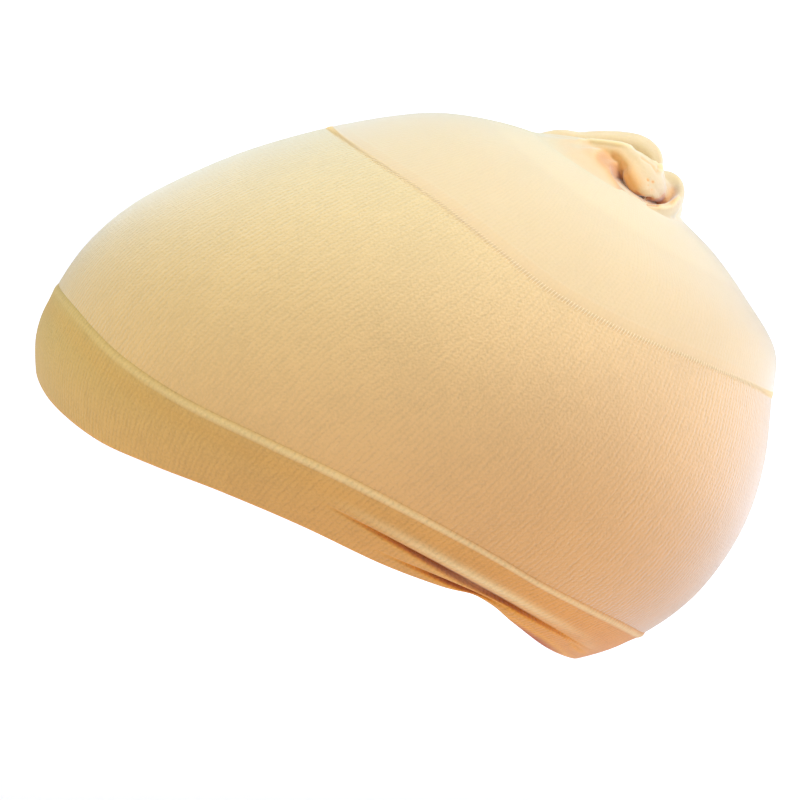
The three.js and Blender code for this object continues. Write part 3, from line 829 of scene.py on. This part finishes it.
class KnitCrown(bpy.types.Operator):
    """Models the crown's knit, from the band up to the crown seam"""

    bl_idname = "wigcap.knit_crown"
    bl_label = "Knit crown"

    def execute(self, context):
        finish = context.scene.cap_finish
        cloth = cloth_wall(
            "crown_cloth", crown_face(band_top_place, seam_place), KNIT_WALL, CROWN_ROWS_UP, self.dress
        )
        knit = nylon_knit(
            "nylon_jersey_crown", finish, (finish.crown_colour, finish.crown_painted_highlight),
            *loop_counts(context),
        )
        finish_cloth(cloth, knit, "crown_knit", "crown")
        return {"FINISHED"}

    def dress(self, around, up, low, high):
        """The seam's stitches draw the crown's upper edge in a little."""
        drawn = bell(high, TROUGH_WIDTH)
        return -SEAM_TROUGH * drawn, SEAM_TONE * drawn, np.zeros_like(drawn)


class KnitPanel(bpy.types.Operator):
    """Models the finer knit panel between the crown seam and the knot"""

    bl_idname = "wigcap.knit_panel"
    bl_label = "Knit panel"

    def execute(self, context):
        finish = context.scene.cap_finish

        def neck_place(around):
            return np.full_like(around, NECK_SECTION)

        cloth = cloth_wall(
            "panel_cloth", crown_face(seam_place, neck_place), KNIT_WALL, PANEL_ROWS_UP, self.dress,
            rounds=(EDGE_ROUND, KNIT_WALL / 2),
        )
        knit = nylon_knit(
            "nylon_jersey_panel", finish, (finish.panel_colour, finish.panel_painted_highlight),
            *loop_counts(context), relief=0.2, contrast=0.09, toe=True, soft=KNIT_SOFT,
        )
        finish_cloth(cloth, knit, "panel_knit", "crown_panel")
        return {"FINISHED"}

    def dress(self, around, up, low, high):
        """The panel's edge is folded under above the seam, where it is doubled and darker."""
        drawn = bell(low, TROUGH_WIDTH)
        folded = 1 - fade((low - SEAM_FOLD) / FOLD_SLOPE)
        stand = FOLD_PROUD * folded * (1 - drawn) - SEAM_TROUGH * drawn
        return stand, SEAM_TONE * np.maximum(drawn, folded), np.zeros_like(drawn)


class KnitBand(bpy.types.Operator):
    """Models the doubled elastic band with its welt and its creases"""

    bl_idname = "wigcap.knit_band"
    bl_label = "Elastic band"

    def execute(self, context):
        finish = context.scene.cap_finish
        cloth = cloth_wall(
            "elastic_band_cloth", band_face, BAND_WALL, BAND_ROWS_UP, self.dress,
            inner_spread=INNER_SPREAD, rounds=(BAND_WALL / 2, EDGE_ROUND),
        )
        knit = nylon_knit(
            "nylon_rib_band", finish, (finish.band_colour, finish.band_painted_highlight),
            *loop_counts(context), relief=0.65, contrast=0.28, sheen=0.2,
        )
        finish_cloth(cloth, knit, "band_knit", "elastic_band")
        return {"FINISHED"}

    def dress(self, around, up, low, high):
        """The band's turned upper edge is a raised welt with painted highlight; the hollow below it, its
        creases and its turned lower edge get painted shade, and the crease lips painted highlight.
        """
        _, dark, lip = creases_at(around, lerp(*band_edges(around), up))
        drawn_flat = fade((np.abs(turn_from_front(around)) - FLAT_TURN) / FLAT_FADE)
        welt = np.sin(np.pi * np.clip(high / WELT_WIDTH, 0, 1)) * lerp(WELT_FRONT, 1, drawn_flat)
        below = bell(high - 2 * WELT_WIDTH, WELT_WIDTH)
        doubled = (BAND_WALL - KNIT_WALL) / 2 * fade(high / WELT_WIDTH)
        stand = doubled + WELT_PROUD * welt - WELT_HOLLOW * below
        # painted shade along the turned lower edge and in the hollow below the welt, painted highlight on
        # the welt and the crease lips
        dark = np.maximum(dark, HEM_SHADE * bell(low, HEM_WIDTH))
        return stand, np.maximum(dark, WELT_SHADE * below), np.maximum(LIP_HIGHLIGHT * lip, WELT_HIGHLIGHT * welt)


def knot_points(side, back, rise):
    """Points given from the middle of the neck, in metres of the shared frame."""
    return to_frame(np.stack(np.broadcast_arrays(side, NECK_BACK + back, CROWN_RISE + rise), axis=-1))


def knot_fold(name):
    """One fold of the knot: a closed, flattened roll of cloth with pleats winding along it."""
    rows = [dict(row, step=i) for i, row in enumerate(KNOT_FOLDS[name])]
    at = np.linspace(0, len(rows) - 1, FOLD_ROWS + 1)
    columns = ("side", "back", "rise", "half", "tall", "lean")
    side, back, rise, half, tall, lean = (read_table(rows, "step", at, c)[:, None] for c in columns)
    tangent = unit(np.gradient(np.hstack([side, back, rise]), axis=0))
    lean = np.radians(lean)
    upright = np.hstack([np.sin(lean), np.zeros_like(lean), np.cos(lean)])
    across = unit(np.cross(tangent, upright))
    upright = np.cross(across, tangent)
    turn = np.linspace(0, 2 * np.pi, FOLD_COLUMNS + 1)[None, :]
    share = np.linspace(0, 1, FOLD_ROWS + 1)[:, None]
    pleats = FOLD_PLEATS[name]
    ridge = np.abs(np.sin(pleats["count"] / 2 * turn + pleats["wind"] * share)) ** 0.7
    swell = np.sin(np.pi * share) ** 0.35 * (1 - pleats["depth"] + pleats["depth"] * 2 * ridge)
    out = (half * swell * np.cos(turn))[..., None] * across[:, None]
    up = (tall * swell * np.sin(turn))[..., None] * upright[:, None]
    offset = out + up
    points = [line + offset[..., i] for i, line in enumerate((side, back, rise))]
    return grid_piece("knot_" + name, knot_points(*points))


def knot_body(name):
    """A rounded body of the knot: cloth inside its folds, or one of its hollows."""
    row = KNOT_BODIES[name]
    turn = np.linspace(0, 2 * np.pi, FOLD_COLUMNS + 1)[None, :]
    rise = np.linspace(-np.pi / 2, np.pi / 2, FOLD_COLUMNS // 2 + 1)[:, None]
    along = row["along"] * np.cos(rise) * np.sin(turn)
    up = row["up"] * np.sin(rise)
    c, s = math.cos(math.radians(row["turn"])), math.sin(math.radians(row["turn"]))
    side = row["side"] + row["across"] * np.cos(rise) * np.cos(turn)
    return grid_piece(
        "knot_" + name, knot_points(side, row["back"] + along * c + up * s, row["rise"] + up * c - along * s)
    )


def panel_height(side, back):
    """How high the panel is under points that are given from the middle of the neck."""
    around = np.linspace(0, 2 * np.pi, ROOF_COLUMNS + 1)[None, :]
    place = np.linspace(NECK_SECTION - ROOF_REACH, NECK_SECTION, ROOF_ROWS)[:, None]
    roof = crown_point(around, place) - [0, NECK_BACK, CROWN_RISE]
    corner = np.arange(roof.shape[0] * roof.shape[1]).reshape(roof.shape[:2])
    quads = np.stack([corner[:-1, :-1], corner[:-1, 1:], corner[1:, 1:], corner[1:, :-1]], axis=-1)
    tree = BVHTree.FromPolygons(roof.reshape(-1, 3).tolist(), quads.reshape(-1, 4).tolist())
    side, back = np.broadcast_arrays(side, back)
    heights = np.zeros(side.shape)
    for i in np.ndindex(side.shape):
        hit = tree.ray_cast((side[i], back[i], CROWN_RISE), (0, 0, -1))[0]
        heights[i] = hit.z if hit else 0
    return heights


def knot_foot():
    """The panel's cloth rising into the knot, which runs out on the panel all round."""
    turn = np.linspace(0, 2 * np.pi, FOOT_COLUMNS + 1)[None, :]
    reach = [np.linspace(0, FOOT_EDGE, FOOT_ROWS), np.linspace(FOOT_EDGE, 0, FOOT_ROWS // 2)]
    reach = np.concatenate(reach)[:, None]
    under = np.concatenate([np.zeros(FOOT_ROWS), np.ones(FOOT_ROWS // 2)])[:, None]
    side = FOOT["side"] + FOOT["across"] * reach * np.sin(turn)
    back = FOOT["back"] - FOOT["along"] * reach * np.cos(turn)
    lift = FOOT["lift"] * np.maximum(1 - reach**2, 0) ** 1.5 - np.maximum(reach**2 - 1, 0)
    rise = panel_height(side, back) + lerp(lift, -FOOT_DEPTH, under)
    return grid_piece("knot_foot", knot_points(side, back, rise))


def apply_modifier(piece, kind, **settings):
    select_only(piece)
    modifier = piece.modifiers.new(kind.lower(), kind)
    for name, value in settings.items():
        setattr(modifier, name, value)
    bpy.ops.object.modifier_apply(modifier=modifier.name)


def own_points(piece):
    """A piece's points from the middle of the neck, in millimetres."""
    flat = np.empty(len(piece.data.vertices) * 3)
    piece.data.vertices.foreach_get("co", flat)
    x, y, z = np.moveaxis(flat.reshape(-1, 3) / MM + SEAT, -1, 0)
    c, s = math.cos(math.radians(CAP_TILT)), math.sin(math.radians(CAP_TILT))
    return np.stack([x, y * c - z * s - NECK_BACK, y * s + z * c - CROWN_RISE], axis=-1)


def move_points(piece, points):
    piece.data.vertices.foreach_set("co", knot_points(*points.T).ravel())
    piece.data.update()


def line_reach(points, back, rise):
    """The distance to a line through points, in the plane of back and rise."""
    nearest = np.full(back.shape, 1e9)
    for (b1, r1), (b2, r2) in zip(points, points[1:]):
        length = (b2 - b1) ** 2 + (r2 - r1) ** 2
        share = np.clip(((back - b1) * (b2 - b1) + (rise - r1) * (r2 - r1)) / length, 0, 1)
        nearest = np.minimum(nearest, np.hypot(back - lerp(b1, b2, share), rise - lerp(r1, r2, share)))
    return nearest


def shaded_share(piece):
    """How far each point of a piece is shaded by cloth close in front of it."""
    tree = BVHTree.FromObject(piece, bpy.context.evaluated_depsgraph_get())
    turns = np.arange(SHADE_RAYS) * np.pi * (3 - math.sqrt(5))
    tall = 1 - (np.arange(SHADE_RAYS) + 0.5) / SHADE_RAYS
    wide = np.sqrt(1 - tall**2)
    rays = [Vector(ray) for ray in zip(wide * np.cos(turns), wide * np.sin(turns), tall)]
    shaded = np.zeros(len(piece.data.vertices))
    for i, vertex in enumerate(piece.data.vertices):
        turn = vertex.normal.to_track_quat("Z", "Y")
        start = vertex.co + vertex.normal * SHADE_START * MM
        for ray in rays:
            distance = tree.ray_cast(start, turn @ ray, SHADE_REACH * MM)[3]
            if distance is not None:
                shaded[i] += (1 - distance / (SHADE_REACH * MM)) * ray.z
    return shaded / sum(ray.z for ray in rays)


class GatherKnot(bpy.types.Operator):
    """Models the gathered knot: pleated folds wound over each other on a rising foot"""

    bl_idname = "wigcap.gather_knot"
    bl_label = "Gathered knot"

    def execute(self, context):
        finish = context.scene.cap_finish
        knot = knot_foot()
        bodies = [knot_body(name) for name in KNOT_BODIES if name not in KNOT_HOLLOWS]
        select_only(knot, knot_fold("flap"), *bodies)
        bpy.ops.object.join()
        apply_modifier(knot, "REMESH", mode="VOXEL", voxel_size=KNOT_VOXEL * MM)
        for name in KNOT_HOLLOWS:
            hollow = knot_body(name)
            apply_modifier(knot, "BOOLEAN", operation="DIFFERENCE", object=hollow, solver="EXACT")
            bpy.data.objects.remove(hollow)
        select_only(knot, knot_fold("roll"), knot_fold("collar"))
        bpy.ops.object.join()
        apply_modifier(knot, "REMESH", mode="VOXEL", voxel_size=KNOT_VOXEL * MM)
        apply_modifier(knot, "SMOOTH", factor=0.5, iterations=3)
        self.draw_lines(knot)
        self.seat_on_panel(knot)
        knot.name = knot.data.name = "gathered_knot_cloth"
        bpy.ops.object.shade_smooth()
        knit = nylon_knit(
            "nylon_jersey_knot", finish, (finish.panel_colour, finish.panel_painted_highlight),
            relief=0.2, contrast=0.09, toe=True, soft=KNIT_SOFT,
        )
        finish_cloth(knot, knit, "knot_knit", "gathered_knot")
        return {"FINISHED"}

    def draw_lines(self, knot):
        """Presses the fine lines into the knot's left side, paints shade into its hollows and lines, and
        paints highlight onto its ridges.
        """
        points = own_points(knot)
        normals = np.array([vertex.normal for vertex in knot.data.vertices])
        near = fade(points[:, 0] / 4) * fade((normals[:, 0] + 0.2) / 0.4)
        push, pale = np.zeros((2, len(points)))
        # painted shade where nearby cloth shades the knot
        dark = SHADE_TONE * fade((shaded_share(knot) - SHADE_FROM) / SHADE_SPAN)
        for line in KNOT_LINES:
            mark = near * bell(line_reach(line["points"], points[:, 1], points[:, 2]), line["width"])
            push += mark * line["push"]
            dark = np.maximum(dark, mark * line["dark"])
            pale = np.maximum(pale, mark * line["pale"])
        own_normals = normals @ TILT_TURN
        move_points(knot, points - own_normals * push[:, None])
        for name, values in (("dark", dark), ("pale", pale)):
            tone = knot.data.attributes.new(name, "FLOAT", "POINT")
            tone.data.foreach_set("value", values)

    def seat_on_panel(self, knot):
        """Lays the knot over the panel it is gathered from, with its rim let into the panel's outermost
        loops, apart from the stem that closes the neck."""
        points = own_points(knot)
        upward = (np.array([vertex.normal for vertex in knot.data.vertices]) @ TILT_TURN)[:, 2]
        side = (points[:, 0] - FOOT["side"]) / FOOT["across"]
        back = (points[:, 1] - FOOT["back"]) / FOOT["along"]
        inside = fade((SEAT_RIM[0] - np.hypot(side, back)) / SEAT_RIM[1])
        seat = lerp(-SEAT_SUNK, SEAT_OVER, inside) + SEAT_THIN * fade(upward + 0.5)
        floor = panel_height(points[:, 0], points[:, 1]) + seat
        floor = np.where(np.hypot(points[:, 0], points[:, 1]) < STEM_RADIUS, -KNIT_WALL, floor)
        points[:, 2] = np.maximum(points[:, 2], floor)
        move_points(knot, points)


def model_stitch(name, length, thickness):
    """One overlock stitch: a short thread that lies across the seam and dips into it at its ends."""
    share = np.linspace(0, 1, STITCH_ROWS)[:, None]
    turn = np.linspace(0, 2 * np.pi, STITCH_SIDES + 1)[None, :]
    radius = thickness / 2 * np.sin(np.pi * np.clip(share, STITCH_END, 1 - STITCH_END)) ** 0.4
    arch = thickness * STITCH_ARCH * np.sin(np.pi * share)
    points = np.stack(
        [
            radius * np.cos(turn),
            (share - 0.5) * length * np.ones_like(turn),
            arch - radius * np.sin(turn),
        ],
        axis=-1,
    )
    return grid_piece(name, points)


def sew(stitch, places):
    """Copies a stitch to each place, given as its middle, the way along it and its outward way,
    and joins the copies into one piece."""
    copies = [stitch]
    for _ in places[1:]:
        copy = stitch.copy()
        copy.data = stitch.data.copy()
        bpy.context.collection.objects.link(copy)
        copies.append(copy)
    for copy, (middle, along, out) in zip(copies, places):
        across = along.cross(out).normalized()
        turn = Matrix((across, out.cross(across), out)).transposed().to_4x4()
        copy.data.transform(Matrix.Translation(middle) @ turn)
    select_only(*copies)
    bpy.ops.object.join()
    return stitch


def seam_places(face, up, pitch, lift, slant):
    """Places for stitches round the cap, evenly apart on a face at a share of the way up it."""
    around = np.linspace(0, 2 * np.pi, SEAM_STEPS + 1)
    line = face(around, np.full_like(around, up))
    length = np.concatenate([[0], np.cumsum(np.linalg.norm(np.diff(line, axis=0), axis=-1))])
    count = int(round(length[-1] * MM / pitch))
    turn = np.interp((np.arange(count) + 0.5) / count * length[-1], length, around)
    at = np.full_like(turn, up)
    normal = normal_at(face, turn, at)
    along = unit(face(turn, at + 1e-3) - face(turn, at - 1e-3))
    beside = np.cross(along, normal)
    points = to_frame(face(turn, at) + normal * lift)
    ways = tilted(along + beside * slant)
    return [(Vector(p), Vector(w).normalized(), Vector(n)) for p, w, n in zip(points, ways, tilted(normal))]


def thread_material(name, colour):
    """Textured nylon sewing thread, twisted from crimped filaments: matt, a little fuzzy and a
    shade paler than the knit it lies on."""
    material, tree = new_material(name)
    place = add_node(tree, "ShaderNodeTexCoord")
    twist = add_node(tree, "ShaderNodeTexNoise", {"Vector": place.outputs["Object"], "Scale": TWIST_NOISE})
    bump = add_node(tree, "ShaderNodeBump", {"Strength": 0.3, "Distance": 0.05 * MM, "Height": twist})
    surface = add_node(
        tree, "ShaderNodeBsdfPrincipled",
        {"Base Color": list(colour), "Normal": bump, "Roughness": 0.6, "Sheen Weight": 0.3},
    )
    add_node(tree, "ShaderNodeOutputMaterial", {"Surface": surface})
    return material


class SewSeams(bpy.types.Operator):
    """Sews the crown seam with small overlock stitches"""

    bl_idname = "wigcap.sew_seams"
    bl_label = "Seam stitches"

    def execute(self, context):
        sizes, finish = context.scene.cap_sizes, context.scene.cap_finish
        stitch = model_stitch("crown_seam_stitches", sizes.stitch_length, sizes.thread_width)
        crown = crown_face(band_top_place, seam_place)
        places = seam_places(crown, 1.0, sizes.stitch_pitch, lift=-0.03, slant=0.12)
        thread = thread_material("nylon_overlock_thread", finish.thread_colour)
        finish_cloth(sew(stitch, places), thread, "crown_knit")
        return {"FINISHED"}


class LightStage(bpy.types.Operator):
    """Sets the pale floor with its curved backdrop, the soft lights and the camera"""

    bl_idname = "wigcap.light_stage"
    bl_label = "Stage, lights and camera"

    def execute(self, context):
        self.add_floor(context.scene.cap_finish.floor_colour)
        self.add_lights(context.scene)
        self.add_camera(context.scene)
        return {"FINISHED"}

    def add_floor(self, colour):
        """A floor that curves up into a round backdrop."""
        profile = [(FLOOR_RADIUS, BACKDROP_TOP)]
        for t in np.linspace(0, np.pi / 2, 13):
            profile.append((FLOOR_RADIUS - FLOOR_SWEEP * (1 - math.cos(t)), FLOOR_SWEEP * (1 - math.sin(t))))
        profile += [(ring, 0.0) for ring in FLOOR_RINGS]
        turn = np.linspace(0, 2 * np.pi, 97)
        points = np.array(
            [[(r * math.sin(t), -r * math.cos(t), z + FLOOR_LEVEL) for t in turn] for r, z in profile]
        )
        floor = grid_piece("studio_floor", points)
        material, tree = new_material("matt_white_paint")
        place = add_node(tree, "ShaderNodeTexCoord")
        reach = add_node(
            tree, "ShaderNodeVectorMath", {0: place.outputs["Object"]}, operation="LENGTH"
        ).outputs["Value"]
        glow = add_node(
            tree, "ShaderNodeMapRange",
            {
                "Value": reach, "From Min": GLOW_REACH[0], "From Max": GLOW_REACH[1],
                "To Min": GLOW[0], "To Max": GLOW[1],
            },
        )
        height = add_node(tree, "ShaderNodeSeparateXYZ", {0: place.outputs["Object"]}).outputs[2]
        dim = add_node(
            tree, "ShaderNodeMapRange",
            {
                "Value": height, "From Min": DIM_LEVEL[0], "From Max": DIM_LEVEL[1],
                "To Min": 1.0, "To Max": DIM_SHARE,
            },
        )
        glow = add_node(tree, "ShaderNodeMath", {0: glow, 1: dim}, operation="MULTIPLY")
        surface = add_node(
            tree, "ShaderNodeBsdfPrincipled",
            {
                "Base Color": list(colour), "Roughness": 0.9,
                "Emission Color": (1, 1, 1, 1), "Emission Strength": glow,
            },
        )
        add_node(tree, "ShaderNodeOutputMaterial", {"Surface": surface})
        floor.data.materials.append(material)

    def add_lights(self, scene):
        for row in LIGHTS:
            offset = Vector(row["offset"])
            bpy.ops.object.light_add(type="AREA", location=CAP_MIDDLE + offset)
            light = bpy.context.object
            light.name = light.data.name = row["name"]
            light.data.size = row["size"]
            light.data.energy = row["power"]
            light.data.color = srgb(row["colour"])[:3]
            light.rotation_euler = offset.to_track_quat("Z", "Y").to_euler()
        world = scene.world or bpy.data.worlds.new("studio_air")
        scene.world = world
        world.use_nodes = True
        background = world.node_tree.nodes["Background"]
        background.inputs[0].default_value = AIR_COLOUR
        background.inputs[1].default_value = AIR_LIGHT
        scene.view_settings.view_transform = "Standard"

    def add_camera(self, scene):
        elevation = math.radians(CAMERA_RISE)
        away = Vector((math.cos(elevation), 0, math.sin(elevation)))
        bpy.ops.object.camera_add(location=CAP_MIDDLE + away * CAMERA_DISTANCE)
        camera = bpy.context.object
        camera.rotation_euler = away.to_track_quat("Z", "Y").to_euler()
        camera.data.sensor_width = SENSOR_WIDTH
        camera.data.lens = SENSOR_WIDTH * CAMERA_DISTANCE / (PHOTO_PIXELS * PIXEL_SIZE)
        scene.camera = camera


class CapPanel(bpy.types.Panel):
    """Lists the cap's pieces in the sidebar"""

    bl_idname = "VIEW3D_PT_wig_cap"
    bl_label = "Stocking wig cap"
    bl_space_type = "VIEW_3D"
    bl_region_type = "UI"
    bl_category = "Wig Cap"

    def draw(self, context):
        for operator in OPERATORS:
            self.layout.operator(operator.bl_idname)
        for group in (context.scene.cap_finish, context.scene.cap_sizes):
            for name in group.__annotations__:
                self.layout.prop(group, name)


OPERATORS = (KnitBand, KnitCrown, KnitPanel, GatherKnot, SewSeams, LightStage)
CLASSES = (CapFinish, CapSizes, *OPERATORS, CapPanel)


def register():
    for cls in CLASSES:
        bpy.utils.register_class(cls)
    bpy.types.Scene.cap_finish = bpy.props.PointerProperty(type=CapFinish)
    bpy.types.Scene.cap_sizes = bpy.props.PointerProperty(type=CapSizes)


def unregister():
    del bpy.types.Scene.cap_sizes
    del bpy.types.Scene.cap_finish
    for cls in reversed(CLASSES):
        bpy.utils.unregister_class(cls)


def main():
    """Builds the cap."""
    register()
    bpy.ops.wigcap.knit_band()
    bpy.ops.wigcap.knit_crown()
    bpy.ops.wigcap.knit_panel()
    bpy.ops.wigcap.gather_knot()
    bpy.ops.wigcap.sew_seams()
    bpy.ops.wigcap.light_stage()


if __name__ == "__main__":
    main()
